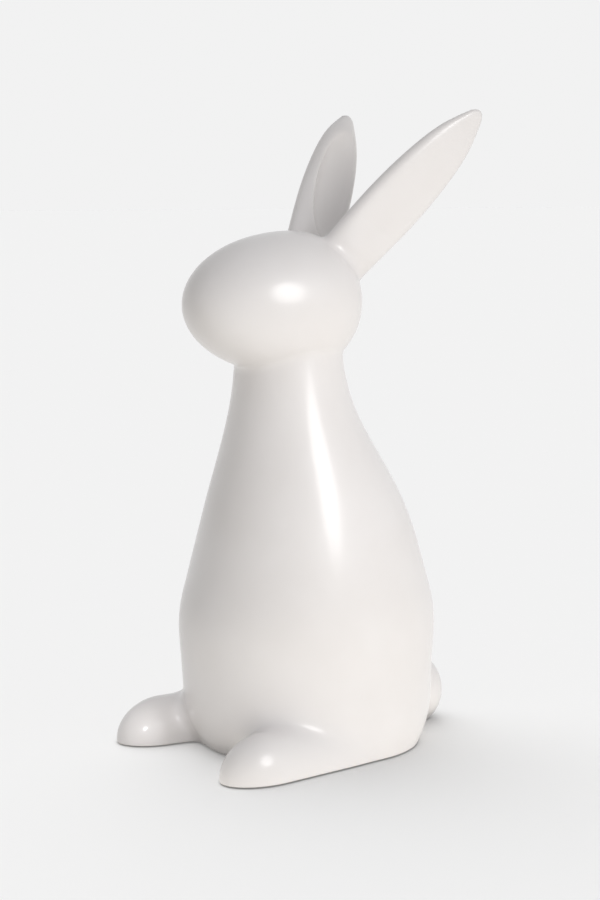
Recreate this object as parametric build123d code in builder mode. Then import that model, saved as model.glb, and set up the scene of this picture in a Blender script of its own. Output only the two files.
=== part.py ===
"""A seated rabbit ornament in slip-cast ceramic.

The rabbit faces -Y and its left side is +X. The floor is z = 0 and the origin lies under the body.
Sizes are in millimetres. The castings meet at flat luting faces, with tenons or a spigot between them.
"""

import os
from math import cos, pi, sin

from build123d import *

# Walls, joints and cuts shared by the castings
wall = 5.0
lute_gap = 0.2
overrun = 150.0

# Felt pads under the base
pad_thickness = 0.6
pad_radius = 6.0
front_pad_reach = 52.0
rear_pad_spread = 25.0
rear_pad_back = 24.0

# Body: a pear of ellipses that leans forward towards the neck
body_height = 146.4
belly_half_width = 46.1
belly_half_depth = 53.4
neck_lean = 9.4
vent_radius = 6.0
oval_points = 12
neck_share = 0.480
neck_depth_share = neck_share * belly_half_width / belly_half_depth
# Each row: height, half width, half depth and forward lean, as shares of the four sizes above.
# The first row lies under the base and is cut off there, and the last lies inside the head.
pear_shares = (
    (-0.16, 0.670, 0.520, 0.00),
    (0.00, 0.972, 0.800, -0.06),
    (0.03, 0.988, 0.880, -0.04),
    (0.10, 0.999, 0.960, 0.00),
    (0.27, 1.000, 1.000, 0.04),
    (0.44, 0.963, 0.950, 0.08),
    (0.61, 0.843, 0.811, 0.15),
    (0.77, 0.683, 0.634, 0.48),
    (0.89, 0.555, 0.493, 0.81),
    (1.00, neck_share, neck_depth_share, 1.00),
    (1.14, 0.445, 0.380, 1.08),
)

# Neck joint: a spigot on the body inside a ring on the head
spigot_height = 5.0
spigot_wall = 2.4
crease_radius = 3.0

# Head: an egg that lies along Y, pointed at the nose
head_height = 176.1
head_front = 56.6
head_back = 19.2
head_widest = -8.6
head_half_width = 27.9

# Ears: flat leaves that lean back and outwards, hollowed on the inner face
ear_root_side = 11.0
ear_root_back = 7.8
ear_root_height = 192.4
ear_tip_side = 41.1
ear_tip_back = 52.8
ear_tip_height = 250.2
ear_width = 26.0
ear_thickness = 13.0
ear_turn = 76.5
ear_root_depth = 9.0
ear_stub = 7.0
ear_fillet = 3.5
ear_tenon_length = 5.0
ear_tenon_share = 0.55
# Each row: distance from the root and half width, as shares of the ear's length and half width
leaf_shares = ((0.34, 1.000), (0.62, 0.900), (0.83, 0.640), (0.95, 0.325))
leaf_root_share = 0.92
ear_wall = 5.0
scoop_half_depth = 12.0
scoop_half_width = 12.0
scoop_centre_share = 0.50
scoop_half_length_share = 0.43

# Feet: long loaves beside each other, rounded at the toe and run into the body at the heel
foot_inset = 13.4
foot_turn = 3.0
foot_half_width = 12.8
foot_height = 16.6
foot_rise = 0.5
toe_reach = 67.3
toe_length = 20.0
heel_start = 16.0
heel_length = 44.0
foot_fillet = 3.5
foot_cut_back = 44.0
foot_cut_turn = 25.0
foot_cut_top = 24.0
foot_tenon_rise = 8.0
foot_tenon_length = 6.0
foot_tenon_radius = 5.0

# Tail: a round scut low at the back
tail_inset = 0.6
tail_rise = 11.8
tail_half_width = 15.0
tail_half_depth = 13.5
tail_half_height = 15.6
tail_fillet = 3.0
tail_cut_out = 1.2
tail_tenon_length = 5.0
tail_tenon_radius = 6.0

base = Plane.XY.offset(pad_thickness)
neck_seam = base.offset(body_height)
neck_radius = belly_half_width * neck_share
foot_spread = belly_half_width - foot_inset
tail_back = belly_half_depth - tail_inset
tail_cut = belly_half_depth + tail_cut_out
spigot_radius = neck_radius - wall + spigot_wall
oval_turns = [2 * pi * step / oval_points for step in range(oval_points)]


def pear(inset):
    """The body's form, drawn in all round by the inset, from under the base up into the head."""
    with BuildPart() as form:
        for height_share, width_share, depth_share, lean_share in pear_shares:
            half_width = belly_half_width * width_share - inset
            half_depth = belly_half_depth * depth_share - inset
            lean = neck_lean * lean_share
            with BuildSketch(base.offset(body_height * height_share)):
                with BuildLine():
                    Spline([(half_width * cos(turn), half_depth * sin(turn) - lean) for turn in oval_turns],
                           periodic=True)
                make_face()
        loft()
    return form.part


def half_egg(reach, side, keep):
    """One half of an ellipsoid that lies along Y, cut at its widest circle."""
    with BuildPart() as form:
        Sphere(1, rotation=(90, 0, 0))
        split(bisect_by=Plane.XZ, keep=keep)
        scale(by=(side, reach, side))
    return form.part


def egg(inset):
    """The head's form, drawn in all round by the inset."""
    side = head_half_width - inset
    muzzle = half_egg(head_front + head_widest - inset, side, Keep.TOP)
    crown = half_egg(head_back - head_widest - inset, side, Keep.BOTTOM)
    with BuildPart() as form:
        with Locations((0, head_widest, head_height)):
            add(muzzle)
            add(crown)
    return form.part


def ahead_of(plane):
    """A block that fills the space in front of a plane."""
    with BuildPart(plane) as block:
        Box(overrun, overrun, overrun, align=(Align.CENTER, Align.CENTER, Align.MIN))
    return block.part


def peg(plane, radius, length):
    """A round peg that stands on a plane, behind it."""
    with BuildPart() as pin:
        with BuildSketch(plane):
            Circle(radius)
        extrude(amount=-length)
    return pin.part


def ear_peg(gap):
    """The ear's tenon, grown by the gap, behind the ear's luting face."""
    with BuildPart() as pin:
        with BuildSketch(ear_cut):
            Ellipse(ear_thickness * ear_tenon_share / 2 + gap, ear_width * ear_tenon_share / 2 + gap)
        extrude(amount=-ear_tenon_length - gap)
    return pin.part


outer_pear = pear(0)
inner_pear = pear(wall)
outer_egg = egg(0)
inner_egg = egg(wall)

# Foot form: a loaf of revolution along Y, drawn in its lower half and scaled to its height
with BuildPart() as loaf:
    with BuildSketch(Plane((0, 0, 0), x_dir=(0, 0, -1), z_dir=(1, 0, 0))):
        with BuildLine():
            toe_start = toe_length - toe_reach
            EllipticalCenterArc((0, toe_start), foot_half_width, toe_length, 270, arc_size=90)
            Line((foot_half_width, toe_start), (foot_half_width, -heel_start))
            EllipticalCenterArc((0, -heel_start), foot_half_width, heel_length, 0, arc_size=90)
            Line((0, heel_length - heel_start), (0, -toe_reach))
        make_face()
    revolve(axis=Axis.Y)
    scale(by=(1, 1, (foot_height - foot_rise) / foot_half_width))

# Tail form
with BuildPart() as scut:
    Sphere(1)
    scale(by=(tail_half_width, tail_half_depth, tail_half_height))

# Lower form: the body with both feet and the tail, blended where they meet and cut off at the base
with BuildPart() as lower_form:
    add(outer_pear)
    for side in (-1, 1):
        heel = Location((side * foot_spread, 0, pad_thickness + foot_rise), (0, 0, side * foot_turn))
        with Locations(heel):
            add(loaf.part)
        fillet(lower_form.edges(Select.NEW), foot_fillet)
    with Locations((0, tail_back, pad_thickness + tail_rise)):
        add(scut.part)
    fillet(lower_form.edges(Select.NEW), tail_fillet)
    split(bisect_by=base, keep=Keep.TOP)

# Ear form, upright: a leaf of revolution flattened to its thickness
ear_root = Vector(ear_root_side, ear_root_back, ear_root_height)
ear_axis = Vector(ear_tip_side, ear_tip_back, ear_tip_height) - ear_root
ear_length = ear_axis.length
with BuildPart() as leaf:
    with BuildSketch(Plane.YZ):
        with BuildLine():
            half = ear_width / 2
            root_corner = (half * leaf_root_share, -ear_root_depth)
            edge = [(half * width, ear_length * length) for length, width in leaf_shares]
            Spline(root_corner, *edge, (0, ear_length), tangents=[(0, 1), (-1, 0)])
            Polyline((0, ear_length), (0, -ear_root_depth), root_corner)
        make_face()
    revolve(axis=Axis.Z)
    scale(by=(ear_thickness / ear_width, 1, 1))

# Ear hollow: an ellipsoid that dips into the leaf's inner face and leaves a wall
scoop_middle = ear_thickness / 2 - ear_wall - scoop_half_depth
with BuildPart() as scoop:
    Sphere(1)
    scale(by=(scoop_half_depth, scoop_half_width, ear_length * scoop_half_length_share))

# The ear's own plane has its thickness along X, its width along Y and its length along Z
ahead = Vector(0, -1, 0)
ear_line = Axis(ear_root, ear_axis)
ear_ahead = ahead - ear_line.direction * ahead.dot(ear_line.direction)
ear_plane = Plane(ear_root, x_dir=ear_ahead.rotate(ear_line, ear_turn), z_dir=ear_axis)
ear_cut = ear_plane.offset(ear_stub)
beyond_ear_cut = ahead_of(ear_cut)
ear_tenon = ear_peg(0)
ear_socket = ear_peg(lute_gap)

# Left ear: the leaf beyond its luting face, hollowed, with its tenon
with BuildPart() as ear_left:
    with Locations(ear_plane):
        add(leaf.part)
        with Locations((scoop_middle, 0, ear_length * scoop_centre_share)):
            add(scoop.part, mode=Mode.SUBTRACT)
    add(beyond_ear_cut, mode=Mode.INTERSECT)
    add(ear_tenon)

# Upper form: the head with its neck and the roots of the ears, blended where they meet
with BuildPart() as neck_stub:
    add(outer_pear)
    split(bisect_by=neck_seam, keep=Keep.TOP)
with BuildPart() as ear_base:
    with Locations(ear_plane):
        add(leaf.part)
with BuildPart() as upper_form:
    add(outer_egg)
    add(neck_stub.part)
    fillet(upper_form.edges(Select.NEW), crease_radius)
    add(ear_base.part)
    fillet(upper_form.edges(Select.NEW), ear_fillet)
    add(beyond_ear_cut, mode=Mode.SUBTRACT)
    mirror(ear_base.part, about=Plane.YZ)
    fillet(upper_form.edges(Select.NEW), ear_fillet)
    mirror(beyond_ear_cut, about=Plane.YZ, mode=Mode.SUBTRACT)

# Head: the upper form, hollow, with a socket for the spigot and one for each ear
with BuildPart() as neck_bore:
    add(inner_pear)
    split(bisect_by=neck_seam, keep=Keep.TOP)
    with BuildSketch(neck_seam):
        with Locations((0, -neck_lean)):
            Circle(spigot_radius + lute_gap)
    extrude(amount=spigot_height + lute_gap)
with BuildPart() as head:
    add(upper_form.part)
    add(inner_egg, mode=Mode.SUBTRACT)
    add(neck_bore.part, mode=Mode.SUBTRACT)
    add(ear_socket, mode=Mode.SUBTRACT)
    mirror(ear_socket, about=Plane.YZ, mode=Mode.SUBTRACT)

# Left foot: the toe of the lower form ahead of its luting face, with its tenon
foot_ahead = ahead.rotate(Axis.Z, foot_cut_turn)
foot_side = Vector(1, 0, 0).rotate(Axis.Z, foot_cut_turn)
foot_line = ahead.rotate(Axis.Z, foot_turn)
foot_heel = Vector(foot_spread, 0, pad_thickness + foot_tenon_rise)
foot_joint = foot_heel + foot_line * foot_cut_back
foot_cut = Plane(foot_joint, x_dir=foot_side, z_dir=foot_ahead)
beyond_foot_cut = ahead_of(foot_cut)
foot_tenon = peg(foot_cut, foot_tenon_radius, foot_tenon_length)
foot_socket = peg(foot_cut, foot_tenon_radius + lute_gap, foot_tenon_length + lute_gap)
with BuildPart() as toe_block:
    add(beyond_foot_cut)
    split(bisect_by=base.offset(foot_cut_top), keep=Keep.BOTTOM)
    split(bisect_by=Plane.YZ, keep=Keep.TOP)
with BuildPart() as foot_left:
    add(lower_form.part)
    add(toe_block.part, mode=Mode.INTERSECT)
    add(foot_tenon)

# Tail: the end of the lower form behind its luting face, with its tenon
tail_plane = Plane((0, tail_cut, pad_thickness + tail_rise), x_dir=(-1, 0, 0), z_dir=(0, 1, 0))
beyond_tail_cut = ahead_of(tail_plane)
tail_tenon = peg(tail_plane, tail_tenon_radius, tail_tenon_length)
tail_socket = peg(tail_plane, tail_tenon_radius + lute_gap, tail_tenon_length + lute_gap)
with BuildPart() as tail:
    add(lower_form.part)
    add(beyond_tail_cut, mode=Mode.INTERSECT)
    add(tail_tenon)

# Body: the lower form up to the neck, hollow, with its spigot, sockets and vent
with BuildPart() as hollow:
    add(inner_pear)
    split(bisect_by=base.offset(wall), keep=Keep.TOP)
with BuildPart() as body:
    add(lower_form.part)
    split(bisect_by=neck_seam, keep=Keep.BOTTOM)
    with BuildSketch(neck_seam):
        with Locations((0, -neck_lean)):
            Circle(spigot_radius)
    extrude(amount=spigot_height)
    add(hollow.part, mode=Mode.SUBTRACT)
    for tool in (toe_block.part, foot_socket):
        add(tool, mode=Mode.SUBTRACT)
        mirror(tool, about=Plane.YZ, mode=Mode.SUBTRACT)
    add(beyond_tail_cut, mode=Mode.SUBTRACT)
    add(tail_socket, mode=Mode.SUBTRACT)
    with BuildSketch(base):
        Circle(vent_radius)
    extrude(amount=wall, mode=Mode.SUBTRACT)

# Felt pads: one under each foot and two under the back of the body
front_pad = Vector(foot_spread, 0, 0) + foot_line * front_pad_reach
with BuildPart() as base_pads:
    with BuildSketch(Plane.XY):
        for side in (-1, 1):
            with Locations((side * front_pad.X, front_pad.Y), (side * rear_pad_spread, rear_pad_back)):
                Circle(pad_radius)
    extrude(amount=pad_thickness)

os.makedirs("parts", exist_ok=True)
body.part.label = "body"
export_step(body.part, "parts/body.step")
head.part.label = "head"
export_step(head.part, "parts/head.step")
ear_left.part.label = "ear_left"
export_step(ear_left.part, "parts/ear_left.step")
with BuildPart() as ear_right:
    mirror(ear_left.part, about=Plane.YZ)
ear_right.part.label = "ear_right"
export_step(ear_right.part, "parts/ear_right.step")
foot_left.part.label = "foot_left"
export_step(foot_left.part, "parts/foot_left.step")
with BuildPart() as foot_right:
    mirror(foot_left.part, about=Plane.YZ)
foot_right.part.label = "foot_right"
export_step(foot_right.part, "parts/foot_right.step")
tail.part.label = "tail"
export_step(tail.part, "parts/tail.step")
base_pads.part.label = "base_pads"
export_step(base_pads.part, "parts/base_pads.step")
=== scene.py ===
"""The looks of a seated rabbit ornament in glossy white ceramic.

The glazed castings are luted together and fired as one, so their skin is made in one piece from the
solids, smoothed as slip and glaze smooth it, and then parted at the luting faces. Lengths are in metres.
"""

import math

import bmesh
import bpy
import numpy as np
from mathutils import Matrix, Vector
from mathutils.bvhtree import BVHTree


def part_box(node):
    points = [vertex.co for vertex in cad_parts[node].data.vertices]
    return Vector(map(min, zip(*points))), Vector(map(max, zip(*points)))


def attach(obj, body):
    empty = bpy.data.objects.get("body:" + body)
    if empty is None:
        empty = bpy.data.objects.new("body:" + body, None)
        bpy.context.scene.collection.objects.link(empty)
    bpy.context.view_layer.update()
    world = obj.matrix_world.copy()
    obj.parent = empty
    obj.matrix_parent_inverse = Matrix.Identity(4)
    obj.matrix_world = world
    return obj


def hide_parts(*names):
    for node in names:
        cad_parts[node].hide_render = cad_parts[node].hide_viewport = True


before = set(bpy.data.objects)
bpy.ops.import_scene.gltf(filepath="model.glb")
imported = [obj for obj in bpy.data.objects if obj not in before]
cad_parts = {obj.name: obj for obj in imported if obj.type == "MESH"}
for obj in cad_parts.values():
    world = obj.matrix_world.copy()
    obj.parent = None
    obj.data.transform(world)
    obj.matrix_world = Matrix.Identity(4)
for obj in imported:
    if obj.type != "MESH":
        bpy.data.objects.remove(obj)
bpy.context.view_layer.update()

base_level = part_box("body")[0].z

# The castings, and what each of the others is luted to
carriers = {
    "head": "body",
    "ear_left": "head",
    "ear_right": "head",
    "foot_left": "body",
    "foot_right": "body",
    "tail": "body",
}
castings = ("body", *carriers)

# Skin of the castings
voxel = 0.0008
smooth_rounds = 12
smooth_in = 0.50
smooth_out = -0.52
normal_rounds = 6
base_drop = 0.004
touch = 0.00001
sharp_cosine = math.cos(math.radians(40))
round_sides = 64

# Blind vent hole in the base, and the plug that closes it while the skin is made
vent_radius = 0.006
vent_depth = 0.014
plug_margin = 0.001

# Outer faces of the ears: the share of the way from rim to ridge where they level off, how squarely,
# the fade above the root, and the slices and share of width by which ridge and rim are found
ear_face_share = 0.65
ear_face_power = 4
ear_fade = 0.012
ear_slice = 0.003
rim_share = 0.97

# Creases round the feet: filled below the top and ahead of the back, and fully past the other two bounds
crease_rounds = 160
crease_turns = 2
crease_step = 0.5
crease_top = 0.034
crease_full_below = 0.024
crease_back = 0.034
crease_full_ahead = 0.022

# Felt pads under the base: shares of radius and thickness round the edge, and the waves in the edge,
# which start at an angle that changes with the pad's place
pad_edge_shares = (
    (0.0, 0.0), (0.90, 0.0), (0.965, 0.12), (1.0, 0.45), (0.985, 0.82), (0.95, 1.0), (0.0, 1.0),
)
pad_wobble = 0.00010
pad_waves = (5, 11)
pad_radians_per_metre = 100000.0

# Noise values between which colours and roughnesses change
noise_low = 0.35
noise_high = 0.65

# Glaze: thick and white, thin and warm, and the bare clay of the base
thick_glaze = (0.830, 0.804, 0.804, 1.0)
thin_glaze = (0.800, 0.771, 0.766, 1.0)
bare_clay = (0.70, 0.66, 0.58, 1.0)
patches_per_metre = 26.0
patch_detail = 3
ripples_per_metre = 240.0
ripple_detail = 1
ripple_height = 0.00002
ripple_strength = 0.30
smooth_glaze = 0.40
dull_glaze = 0.48
clay_roughness = 0.88
glaze_ior = 1.5
coat_weight = 0.6
coat_roughness = 0.18
bare_rim = 0.0001

# Felt
dark_felt = (0.33, 0.31, 0.27, 1.0)
pale_felt = (0.50, 0.48, 0.43, 1.0)
clumps_per_metre = 900.0
clump_detail = 4
fibres_per_metre = 5200.0
fibre_detail = 2
fibre_height = 0.00015
fibre_strength = 0.7
matted_roughness = 0.95
fuzzy_roughness = 1.0
felt_sheen = 0.35
felt_sheen_roughness = 0.5

# Camera, from the outline of the ornament in the photograph
camera_azimuth = math.radians(52.7)
camera_elevation = math.radians(7.3)
camera_distance = 0.800
camera_aim = Vector((0.0, -0.0042, 0.1174))
camera_lens = 80.72
camera_sensor = 36.0

# Stage
floor_size = 40.0
backdrop_level = 0.887
floor_colour = (backdrop_level, backdrop_level, backdrop_level, 1.0)
floor_glow = 0.16
bounce_colour = (0.60, 0.585, 0.55, 1.0)
white = (1.0, 1.0, 1.0, 1.0)
horizon_level = 0.48
zenith_level = 0.35

# Main lamp, in front on the right
key_aim = Vector((0.03, -0.01, 0.11))
key_azimuth = math.radians(95)
key_elevation = math.radians(27)
key_distance = 0.42
key_width = 0.17
key_height = 0.25
key_level = 1.53
key_spread = math.radians(90)

# Light from the bright paper beside the ornament
card_middle = Vector((0.158, -0.015, 0.0007))
card_width = 0.28
card_length = 0.36
card_level = 0.8
card_colour = (1.0, 0.98, 0.92)

# Narrow spot on the far foot, which the body hides from the main lamp
spot_aim = Vector((-0.034, -0.055, 0.009))
spot_azimuth = math.radians(52)
spot_elevation = math.radians(28)
spot_distance = 0.45
spot_radius = 0.02
spot_reach = 0.032
spot_level = 0.36

# Light on the floor alone: a wide one from behind on the left, and an even one from above
sun_azimuth = math.radians(-98)
sun_elevation = math.radians(62)
sun_angle = math.radians(70)
sun_level = 0.645
dome_angle = math.radians(180)
dome_level = 0.04


def new_object(name, data):
    """An object in the scene for a mesh, a lamp or a camera."""
    item = bpy.data.objects.new(name, data)
    bpy.context.scene.collection.objects.link(item)
    return item


def to_mesh(name, shape):
    """A new mesh from a bmesh, which is freed."""
    mesh = bpy.data.meshes.new(name)
    shape.to_mesh(mesh)
    shape.free()
    return mesh


def rows(items, setting, width, kind=np.float32):
    """One setting of all the items, with a row of numbers for each."""
    values = np.empty(len(items) * width, kind)
    items.foreach_get(setting, values)
    return values.reshape(-1, width)


def points_of(mesh):
    """A mesh's corner points, one row each."""
    return rows(mesh.vertices, "co", 3).astype(float)


def edges_of(mesh):
    """A mesh's edges, as rows of two corner numbers."""
    return rows(mesh.edges, "vertices", 2, np.int32)


def cylinder(shape, radius, low, high):
    """Adds a closed upright cylinder on the Z axis to a bmesh."""
    middle = Matrix.Translation((0, 0, (low + high) / 2))
    bmesh.ops.create_cone(
        shape, cap_ends=True, segments=round_sides, radius1=radius, radius2=radius,
        depth=high - low, matrix=middle)


def modified(mesh, kind, **settings):
    """A new mesh: the given one after one modifier."""
    holder = new_object("holder", mesh)
    step = holder.modifiers.new("step", kind)
    for setting, value in settings.items():
        setattr(step, setting, value)
    shown = holder.evaluated_get(bpy.context.evaluated_depsgraph_get())
    result = bpy.data.meshes.new_from_object(shown)
    bpy.data.objects.remove(holder)
    return result


def seam(name):
    """The plane where a casting is luted to its carrier: a point on it, and its normal away from
    the carrier."""
    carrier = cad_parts[carriers[name]].data
    tree = BVHTree.FromPolygons([corner.co for corner in carrier.vertices],
                                [face.vertices for face in carrier.polygons])
    point = Vector()
    normal = Vector()
    area = 0.0
    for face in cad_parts[name].data.polygons:
        hit = tree.find_nearest(face.center, touch)
        if hit[0] is not None and hit[1].dot(face.normal) < -sharp_cosine:
            point += face.center * face.area
            normal -= face.normal * face.area
            area += face.area
    return point / area, normal.normalized()


def joined_solids():
    """All the castings in one mesh, with the vent plugged. It runs on below the base, so that the
    smoothing leaves the base's edge where it is."""
    shape = bmesh.new()
    for name in castings:
        shape.from_mesh(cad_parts[name].data)
    low = base_level + touch
    base = [face for face in shape.faces if max(corner.co.z for corner in face.verts) < low]
    lowered = bmesh.ops.extrude_face_region(shape, geom=base)["geom"]
    corners = [item for item in lowered if isinstance(item, bmesh.types.BMVert)]
    bmesh.ops.translate(shape, verts=corners, vec=(0, 0, -base_drop))
    cylinder(shape, vent_radius + plug_margin, base_level - base_drop, base_level + vent_depth)
    return to_mesh("skin", shape)


def largest_shell(mesh):
    """Drops every separate shell of a mesh but the one with the widest reach."""
    edges = edges_of(mesh)
    shell = np.arange(len(mesh.vertices))
    while True:
        low = np.minimum(shell[edges[:, 0]], shell[edges[:, 1]])
        before = shell.copy()
        np.minimum.at(shell, edges[:, 0], low)
        np.minimum.at(shell, edges[:, 1], low)
        shell = shell[shell]
        if np.array_equal(shell, before):
            break
    points = points_of(mesh)
    reach = {name: np.ptp(points[shell == name], axis=0).sum() for name in np.unique(shell)}
    outer = max(reach, key=reach.get)
    shape = bmesh.new()
    shape.from_mesh(mesh)
    inner = [corner for corner, name in zip(list(shape.verts), shell) if name != outer]
    bmesh.ops.delete(shape, geom=inner, context="VERTS")
    shape.to_mesh(mesh)
    shape.free()


def spread(values, edges):
    """The mean of each corner's neighbours, for rows of values at the corners."""
    total = np.zeros_like(values)
    count = np.zeros(len(values))
    for near, far in ((0, 1), (1, 0)):
        np.add.at(total, edges[:, near], values[edges[:, far]])
        np.add.at(count, edges[:, near], 1)
    return total / count[:, None]


def normals_at(mesh, points):
    """Moves a mesh's corners to the points and reads its normals there."""
    mesh.vertices.foreach_set("co", points.astype(np.float32).ravel())
    mesh.update()
    return np.array([corner.vector for corner in mesh.vertex_normals])


def ear_axes(place, root):
    """An ear's directions along, across and outwards, from its points about its root."""
    along = place[place[:, 2].argmax()]
    along = along / np.linalg.norm(along)
    section = place - (place @ along)[:, None] * along
    across, outward = np.linalg.svd(section, full_matrices=False)[2][:2]
    return along, across, outward * np.sign(outward[0] * root[0])


def flatten_ear(points, plane):
    """Levels the outer face of the ear ahead of a luting plane, and leaves its rim where it is."""
    root = np.array(plane[0])
    ahead = (points - root) @ np.array(plane[1]) > 0
    same_side = points[:, 0] * root[0] > 0
    ear = np.flatnonzero(ahead & same_side)
    place = points[ear] - root
    along, across, outward = ear_axes(place, root)
    far = place @ along
    height = place @ outward
    width = np.abs(place @ across)
    slices = (np.maximum(far, 0) / ear_slice).astype(int)
    tops = np.zeros(slices.max() + 1)
    widths = np.zeros(slices.max() + 1)
    np.maximum.at(tops, slices, height)
    np.maximum.at(widths, slices, width)
    rim = np.median(height[width > rim_share * widths[slices]])
    middles = np.arange(len(tops)) * ear_slice + ear_slice / 2
    rise = np.interp(far, middles, tops) - rim
    share = np.clip((height - rim) / np.maximum(rise, touch), 0, 1)
    flat = share / (1 + (share / ear_face_share) ** ear_face_power) ** (1 / ear_face_power)
    fade = np.clip(far / ear_fade, 0, 1)
    points[ear] += (fade * (flat - share) * rise)[:, None] * outward


def fill_creases(mesh, points, edges):
    """Fills the hollow creases round the feet, as slip and glaze do, and leaves what bulges as it is."""
    share = np.clip((crease_top - points[:, 2]) / (crease_top - crease_full_below), 0, 1)
    share *= np.clip((crease_back - points[:, 1]) / (crease_back - crease_full_ahead), 0, 1)
    near = np.flatnonzero(share)
    number = np.full(len(points), -1)
    number[near] = np.arange(len(near))
    links = number[edges]
    links = links[(links >= 0).all(axis=1)]
    for _ in range(crease_turns):
        normals = normals_at(mesh, points)[near]
        for _ in range(crease_rounds // crease_turns):
            place = points[near]
            rise = ((spread(place, links) - place) * normals).sum(axis=1)
            points[near] += (crease_step * share[near] * np.maximum(rise, 0))[:, None] * normals


def whole_skin(seams):
    """One smooth closed skin round all the castings, which also keeps its smoothed normals."""
    mesh = modified(joined_solids(), "REMESH", mode="VOXEL", voxel_size=voxel)
    largest_shell(mesh)
    points = points_of(mesh)
    edges = edges_of(mesh)
    for _ in range(smooth_rounds):
        for step in (smooth_in, smooth_out):
            points += step * (spread(points, edges) - points)
    for ear in ("ear_left", "ear_right"):
        flatten_ear(points, seams[ear])
    fill_creases(mesh, points, edges)
    normals = normals_at(mesh, points)
    for _ in range(normal_rounds):
        normals += spread(normals, edges)
        normals /= np.linalg.norm(normals, axis=1)[:, None]
    layer = mesh.attributes.new("skin_normal", "FLOAT_VECTOR", "POINT")
    layer.data.foreach_set("vector", normals.astype(np.float32).ravel())
    return mesh


def parted(name, skin, planes):
    """The part of the skin ahead of each plane, closed at its cuts."""
    shape = bmesh.new()
    shape.from_mesh(skin)
    for point, normal in planes:
        everything = shape.verts[:] + shape.edges[:] + shape.faces[:]
        bmesh.ops.bisect_plane(shape, geom=everything, plane_co=point, plane_no=normal, clear_inner=True)
        open_edges = [edge for edge in shape.edges if edge.is_boundary]
        caps = bmesh.ops.holes_fill(shape, edges=open_edges, sides=0)["faces"]
        bmesh.ops.triangulate(shape, faces=caps)
    bmesh.ops.recalc_face_normals(shape, faces=shape.faces)
    return to_mesh(name, shape)


def vented(mesh):
    """The body with its blind vent hole in the base."""
    shape = bmesh.new()
    cylinder(shape, vent_radius, base_level - vent_depth, base_level + vent_depth)
    drill = new_object("drill", to_mesh("drill", shape))
    result = modified(mesh, "BOOLEAN", operation="DIFFERENCE", object=drill, solver="EXACT")
    bpy.data.objects.remove(drill)
    return result


def shade(mesh):
    """Gives a casting the whole skin's normals, and flat ones on its cuts and in its vent."""
    mesh.shade_smooth()
    layer = mesh.attributes["skin_normal"]
    soft = rows(layer.data, "vector", 3)
    soft /= np.maximum(np.linalg.norm(soft, axis=1), touch)[:, None]
    soft = soft[rows(mesh.loops, "vertex_index", 1, np.int32).ravel()]
    sides = rows(mesh.polygons, "loop_total", 1, np.int32).ravel()
    flat = np.repeat(rows(mesh.polygons, "normal", 3), sides, axis=0)
    cut = (soft * flat).sum(axis=1) < sharp_cosine
    soft[cut] = flat[cut]
    mesh.normals_split_custom_set(soft.tolist())
    mesh.attributes.remove(mesh.attributes["skin_normal"])


def make_castings(material):
    """Parts the skin at the luting planes and puts each part in place of its solid."""
    ahead = {name: seam(name) for name in carriers}
    behind = {name: (point, -normal) for name, (point, normal) in ahead.items()}
    base = (Vector((0, 0, base_level)), Vector((0, 0, 1)))
    left = (Vector(), Vector((1, 0, 0)))
    right = (Vector(), Vector((-1, 0, 0)))
    plans = {
        "body": (behind["head"], base, behind["foot_left"], behind["foot_right"], behind["tail"]),
        "head": (ahead["head"], behind["ear_left"], behind["ear_right"]),
        "ear_left": (left, ahead["ear_left"]),
        "ear_right": (right, ahead["ear_right"]),
        "foot_left": (behind["head"], base, left, ahead["foot_left"]),
        "foot_right": (behind["head"], base, right, ahead["foot_right"]),
        "tail": (behind["head"], base, ahead["tail"]),
    }
    skin = whole_skin(ahead)
    made = []
    for name, planes in plans.items():
        mesh = parted(name + "_glazed", skin, planes)
        if name == "body":
            mesh = vented(mesh)
        shade(mesh)
        mesh.materials.clear()
        mesh.materials.append(material)
        piece = new_object(name + "_glazed", mesh)
        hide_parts(name)
        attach(piece, "root")
        made.append(piece)
    return made


def new_material(name):
    """A material with a plain shader, and its nodes and links."""
    material = bpy.data.materials.new(name)
    material.use_nodes = True
    nodes = material.node_tree.nodes
    return material, nodes, material.node_tree.links, nodes["Principled BSDF"]


def noise(nodes, links, place, scale, detail):
    """A noise output at a scale, read at the given place."""
    texture = nodes.new("ShaderNodeTexNoise")
    texture.inputs["Scale"].default_value = scale
    texture.inputs["Detail"].default_value = detail
    links.new(place, texture.inputs["Vector"])
    return texture.outputs["Fac"]


def ranged(nodes, links, value, start, end, low, high):
    """A value brought from one range to another, and held inside it."""
    scaled = nodes.new("ShaderNodeMapRange")
    scaled.inputs["From Min"].default_value = start
    scaled.inputs["From Max"].default_value = end
    scaled.inputs["To Min"].default_value = low
    scaled.inputs["To Max"].default_value = high
    links.new(value, scaled.inputs["Value"])
    return scaled.outputs["Result"]


def two_colours(nodes, links, value, low, high):
    """A colour between two, by a noise value."""
    ramp = nodes.new("ShaderNodeValToRGB")
    ramp.color_ramp.elements[0].position = noise_low
    ramp.color_ramp.elements[0].color = low
    ramp.color_ramp.elements[1].position = noise_high
    ramp.color_ramp.elements[1].color = high
    links.new(value, ramp.inputs["Fac"])
    return ramp.outputs["Color"]


def bumped(nodes, links, shader, value, height, strength):
    """Raises the surface by a value."""
    bump = nodes.new("ShaderNodeBump")
    bump.inputs["Distance"].default_value = height
    bump.inputs["Strength"].default_value = strength
    links.new(value, bump.inputs["Height"])
    links.new(bump.outputs["Normal"], shader.inputs["Normal"])


def glazed_share(nodes, links, place):
    """1 on the glazed skin and 0 on the wiped clay that the ornament stands on."""
    split = nodes.new("ShaderNodeSeparateXYZ")
    links.new(place, split.inputs["Vector"])
    return ranged(nodes, links, split.outputs["Z"], base_level + touch, base_level + bare_rim, 0, 1)


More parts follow.
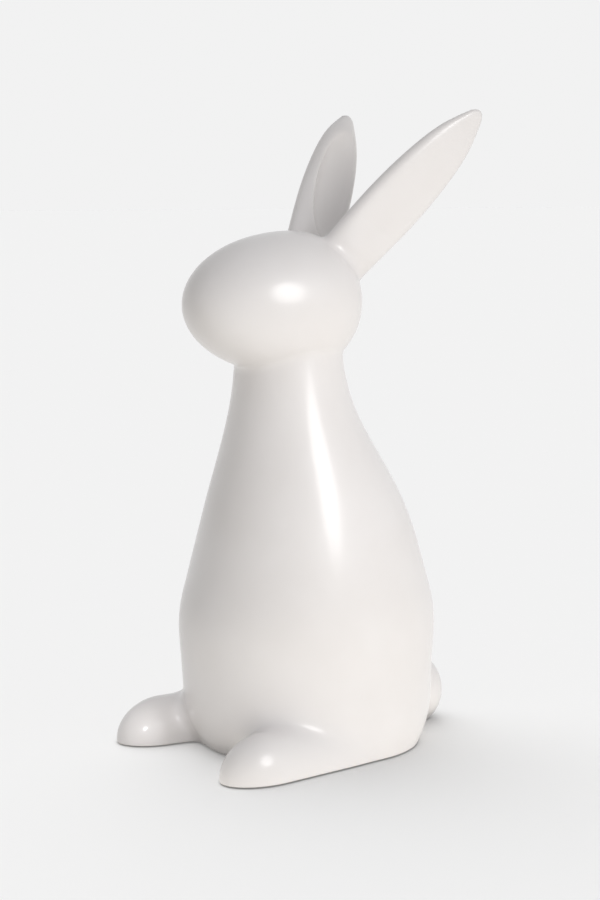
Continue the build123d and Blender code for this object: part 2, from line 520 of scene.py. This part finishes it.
def glaze():
    """Glossy white glaze, a little warmer and duller where it is thin, over pale clay."""
    material, nodes, links, shader = new_material("white_glaze")
    place = nodes.new("ShaderNodeTexCoord").outputs["Object"]
    patches = noise(nodes, links, place, patches_per_metre, patch_detail)
    ripples = noise(nodes, links, place, ripples_per_metre, ripple_detail)
    covered = glazed_share(nodes, links, place)
    colour = nodes.new("ShaderNodeMix")
    colour.data_type = "RGBA"
    colour.inputs["A"].default_value = bare_clay
    links.new(covered, colour.inputs["Factor"])
    links.new(two_colours(nodes, links, patches, thin_glaze, thick_glaze), colour.inputs["B"])
    links.new(colour.outputs["Result"], shader.inputs["Base Color"])
    rough = nodes.new("ShaderNodeMix")
    rough.inputs["A"].default_value = clay_roughness
    glossy = ranged(nodes, links, patches, noise_low, noise_high, dull_glaze, smooth_glaze)
    links.new(covered, rough.inputs["Factor"])
    links.new(glossy, rough.inputs["B"])
    links.new(rough.outputs["Result"], shader.inputs["Roughness"])
    links.new(ranged(nodes, links, covered, 0, 1, 0, coat_weight), shader.inputs["Coat Weight"])
    shader.inputs["Coat Roughness"].default_value = coat_roughness
    shader.inputs["IOR"].default_value = glaze_ior
    bumped(nodes, links, shader, ripples, ripple_height, ripple_strength)
    return material


def felt():
    """Pale wool felt, clumped and fibrous."""
    material, nodes, links, shader = new_material("felt")
    place = nodes.new("ShaderNodeTexCoord").outputs["Object"]
    clumps = noise(nodes, links, place, clumps_per_metre, clump_detail)
    fibres = noise(nodes, links, place, fibres_per_metre, fibre_detail)
    rough = ranged(nodes, links, fibres, noise_low, noise_high, matted_roughness, fuzzy_roughness)
    links.new(two_colours(nodes, links, clumps, dark_felt, pale_felt), shader.inputs["Base Color"])
    links.new(rough, shader.inputs["Roughness"])
    shader.inputs["Sheen Weight"].default_value = felt_sheen
    shader.inputs["Sheen Roughness"].default_value = felt_sheen_roughness
    bumped(nodes, links, shader, fibres, fibre_height, fibre_strength)
    return material


def pad_boxes():
    """The box of each pad, as its lowest and highest corner, always in the same order."""
    shape = bmesh.new()
    shape.from_mesh(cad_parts["base_pads"].data)
    bmesh.ops.remove_doubles(shape, verts=shape.verts, dist=touch)
    left = set(shape.verts)
    boxes = []
    while left:
        shell = set()
        edge = {left.pop()}
        while edge:
            shell |= edge
            around = {other for corner in edge for side in corner.link_edges for other in side.verts}
            edge = around - shell
        left -= shell
        points = np.array([corner.co for corner in shell])
        boxes.append((Vector(points.min(axis=0)), Vector(points.max(axis=0))))
    shape.free()
    return sorted(boxes, key=lambda box: tuple(box[0]))


def disc_ring(middle, radius, out, height):
    """The points of one slightly uneven ring of a disc, or the one point at its middle."""
    if out == 0:
        return [(middle.x, middle.y, height)]
    ring = []
    start = middle.x * pad_radians_per_metre
    for step in range(round_sides):
        turn = 2 * math.pi * step / round_sides
        wave = sum(math.sin(count * turn + start) for count in pad_waves) / len(pad_waves)
        reach = out * (radius - pad_wobble + pad_wobble * wave)
        ring.append((middle.x + reach * math.cos(turn), middle.y + reach * math.sin(turn), height))
    return ring


def cut_disc(shape, low, high):
    """Adds a disc of felt with a soft, slightly uneven edge to a bmesh."""
    middle = (low + high) / 2
    radius = (high.x - low.x) / 2
    rings = []
    for out, up in pad_edge_shares:
        ring = disc_ring(middle, radius, out, low.z + up * (high.z - low.z))
        rings.append([shape.verts.new(point) for point in ring])
    for lower, upper in zip(rings, rings[1:]):
        for step in range(round_sides):
            after = (step + 1) % round_sides
            if len(lower) == 1:
                corners = (lower[0], upper[after], upper[step])
            elif len(upper) == 1:
                corners = (lower[step], lower[after], upper[0])
            else:
                corners = (lower[step], lower[after], upper[after], upper[step])
            shape.faces.new(corners)


def make_pads(material):
    """Felt discs in place of the pads' solids."""
    shape = bmesh.new()
    for low, high in pad_boxes():
        cut_disc(shape, low, high)
    bmesh.ops.recalc_face_normals(shape, faces=shape.faces)
    mesh = to_mesh("felt_pads", shape)
    mesh.shade_smooth()
    mesh.materials.append(material)
    piece = new_object("felt_pads", mesh)
    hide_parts("base_pads")
    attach(piece, "root")


def seen_straight(nodes, links):
    """A value that is 1 for what is seen straight, mirrored or through glass, and otherwise 0."""
    path = nodes.new("ShaderNodeLightPath")
    seen = path.outputs["Is Camera Ray"]
    for ray in ("Is Glossy Ray", "Is Transmission Ray"):
        either = nodes.new("ShaderNodeMath")
        either.operation = "MAXIMUM"
        links.new(seen, either.inputs[0])
        links.new(path.outputs[ray], either.inputs[1])
        seen = either.outputs["Value"]
    return seen


def mixed(nodes, links, share, low, high):
    """Two shaders mixed by a share, which is a number or a node's output."""
    mix = nodes.new("ShaderNodeMixShader")
    if isinstance(share, float):
        mix.inputs["Fac"].default_value = share
    else:
        links.new(share, mix.inputs["Fac"])
    links.new(low, mix.inputs[1])
    links.new(high, mix.inputs[2])
    return mix.outputs["Shader"]


def pale_paper():
    """Pale matt paper. Where it is seen it glows by a share, and for the light that it throws up
    on the ornament it is darker."""
    material, nodes, links, shader = new_material("floor_paper")
    nodes.remove(shader)
    paper = nodes.new("ShaderNodeBsdfDiffuse")
    paper.inputs["Color"].default_value = floor_colour
    glow = nodes.new("ShaderNodeEmission")
    glow.inputs["Color"].default_value = floor_colour
    table = nodes.new("ShaderNodeBsdfDiffuse")
    table.inputs["Color"].default_value = bounce_colour
    seen = mixed(nodes, links, floor_glow, paper.outputs["BSDF"], glow.outputs["Emission"])
    both = mixed(nodes, links, seen_straight(nodes, links), table.outputs["BSDF"], seen)
    links.new(both, nodes["Material Output"].inputs["Surface"])
    return material


def make_floor():
    """A wide flat floor."""
    shape = bmesh.new()
    bmesh.ops.create_grid(shape, x_segments=1, y_segments=1, size=floor_size / 2)
    mesh = to_mesh("floor", shape)
    mesh.materials.append(pale_paper())
    floor = new_object("floor", mesh)
    return floor


def make_world():
    """Light from all round, less from above, with the pale background for what sees it straight
    or mirrored."""
    world = bpy.data.worlds.new("studio")
    bpy.context.scene.world = world
    world.use_nodes = True
    nodes = world.node_tree.nodes
    links = world.node_tree.links
    nodes.clear()
    light = nodes.new("ShaderNodeBackground")
    place = nodes.new("ShaderNodeTexCoord")
    split = nodes.new("ShaderNodeSeparateXYZ")
    links.new(place.outputs["Generated"], split.inputs["Vector"])
    dimmed = ranged(nodes, links, split.outputs["Z"], 0, 1, horizon_level, zenith_level)
    links.new(dimmed, light.inputs["Strength"])
    pale = nodes.new("ShaderNodeBackground")
    pale.inputs["Strength"].default_value = backdrop_level
    for background in (light, pale):
        background.inputs["Color"].default_value = white
    both = mixed(nodes, links, seen_straight(nodes, links),
                 light.outputs["Background"], pale.outputs["Background"])
    output = nodes.new("ShaderNodeOutputWorld")
    links.new(both, output.inputs["Surface"])


def direction(azimuth, elevation):
    """Unit vector towards an azimuth, from -Y towards +X, and an elevation, in radians."""
    flat = math.cos(elevation)
    return Vector((math.sin(azimuth) * flat, -math.cos(azimuth) * flat, math.sin(elevation)))


def aimed(item, place, aim):
    """Puts a lamp or camera at a place, looking at the aim."""
    item.location = place
    item.rotation_mode = "QUATERNION"
    item.rotation_quaternion = (aim - place).to_track_quat("-Z", "Y")


def softbox(name, place, aim, width, height, level):
    """A flat lamp. The level is its face's brightness while it is a rectangle with a full spread."""
    lamp = bpy.data.lights.new(name, "AREA")
    lamp.shape = "RECTANGLE"
    lamp.size = width
    lamp.size_y = height
    lamp.energy = level * math.pi * width * height
    item = new_object(name, lamp)
    aimed(item, place, aim)
    return item


def key_lamp():
    """The main lamp: an oval softbox with a narrowed beam."""
    place = key_aim + direction(key_azimuth, key_elevation) * key_distance
    item = softbox("key_box", place, key_aim, key_width, key_height, key_level)
    item.data.shape = "ELLIPSE"
    item.data.spread = key_spread
    return item


def paper_card():
    """The light that the bright paper beside the ornament throws up, without a mirror image of it."""
    above = card_middle + Vector((0, 0, 1))
    item = softbox("paper_card", card_middle, above, card_width, card_length, card_level)
    item.data.color = card_colour
    item.visible_camera = False
    item.visible_glossy = False
    return item


def foot_spot():
    """A soft spot on the far foot, which fades out towards the body. Its level is the brightness of
    white paper at its aim."""
    lamp = bpy.data.lights.new("foot_spot", "SPOT")
    lamp.shadow_soft_size = spot_radius
    lamp.spot_size = 2 * math.atan(spot_reach / spot_distance)
    lamp.spot_blend = 1
    lamp.energy = spot_level * (2 * math.pi * spot_distance) ** 2
    item = new_object("foot_spot", lamp)
    aimed(item, spot_aim + direction(spot_azimuth, spot_elevation) * spot_distance, spot_aim)
    return item


def far_light(name, azimuth, elevation, angle, level):
    """Light from far away, from a part of the sky as wide as the angle."""
    lamp = bpy.data.lights.new(name, "SUN")
    lamp.angle = angle
    lamp.energy = level * math.pi
    item = new_object(name, lamp)
    aimed(item, direction(azimuth, elevation), Vector())
    return item


def lit_only(lamp, items):
    """Lets a lamp light only the given objects."""
    group = bpy.data.collections.new(lamp.name + "_lit")
    for item in items:
        group.objects.link(item)
    lamp.light_linking.receiver_collection = group


def make_lights(pieces, floor):
    """The lamps: three light the glazed pieces alone, and two the floor alone."""
    for lamp in (key_lamp(), paper_card(), foot_spot()):
        lit_only(lamp, pieces)
    lit_only(far_light("floor_sun", sun_azimuth, sun_elevation, sun_angle, sun_level), [floor])
    lit_only(far_light("floor_dome", 0, math.pi / 2, dome_angle, dome_level), [floor])


def make_camera():
    """The photograph's camera."""
    camera = bpy.data.cameras.new("camera")
    camera.lens = camera_lens
    camera.sensor_width = camera_sensor
    item = new_object("camera", camera)
    towards = direction(camera_azimuth, camera_elevation)
    aimed(item, camera_aim + towards * camera_distance, camera_aim)
    bpy.context.scene.camera = item


make_camera()
make_world()
floor = make_floor()
pieces = make_castings(glaze())
make_pads(felt())
make_lights(pieces, floor)

bpy.context.scene.view_settings.view_transform = "Standard"
